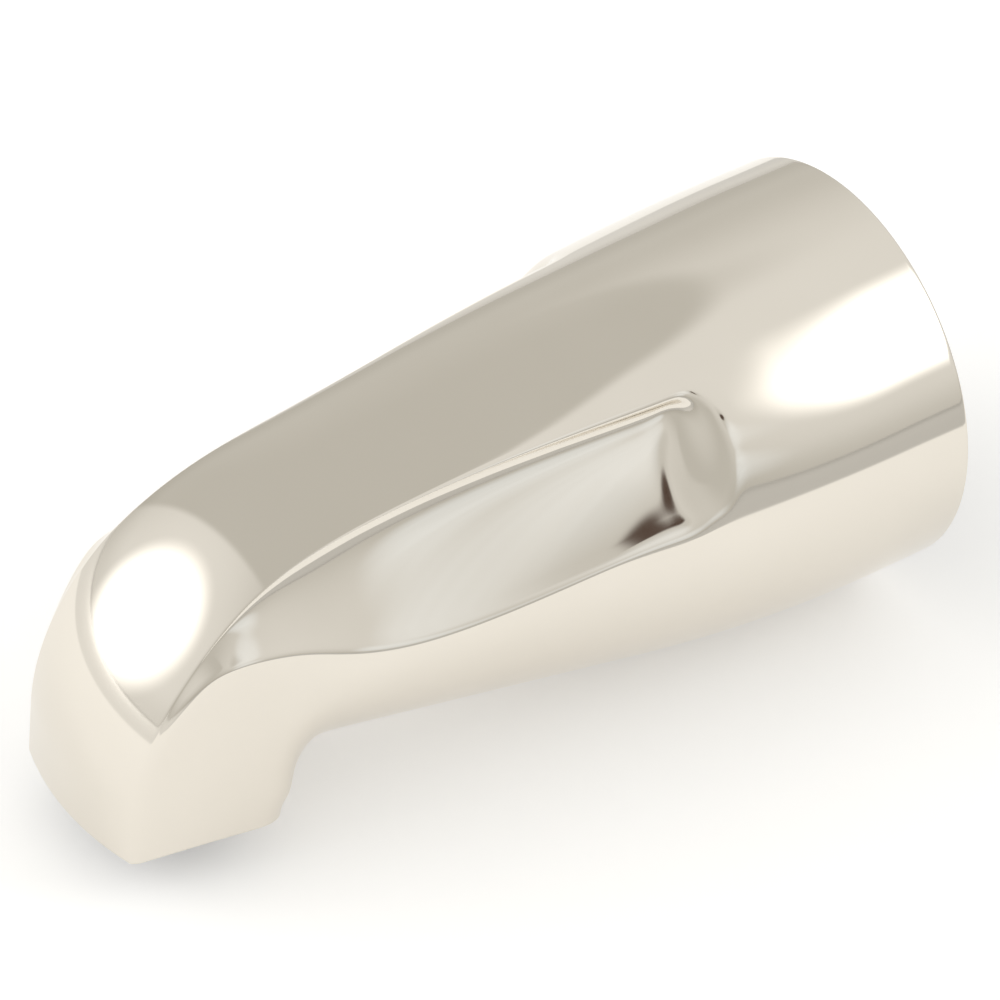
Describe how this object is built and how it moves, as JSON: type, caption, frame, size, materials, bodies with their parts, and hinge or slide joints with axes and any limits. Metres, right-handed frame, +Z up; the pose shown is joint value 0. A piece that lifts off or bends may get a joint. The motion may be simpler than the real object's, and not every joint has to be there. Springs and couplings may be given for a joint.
{
  "type": "bath spout",
  "caption": "Bath spout: a round barrel at the wall tapers under a crowned hood with a hollow flute along each side, then turns down to an open squared mouth.",
  "frame": {"origin": "on the barrel's axis, where the inlet thread begins, 89 mm in front of the wall face", "axes": "+Y goes back into the wall along the barrel's axis, so the spout runs out along -Y; +Z is up; +X is to the right of someone who faces the wall"},
  "size_m": [0.0636, 0.1355, 0.0636],
  "materials": {
    "polished_nickel": "polished"
  },
  "bodies": {
    "root": {"spout_body": "polished_nickel"}
  },
  "joints": []
}
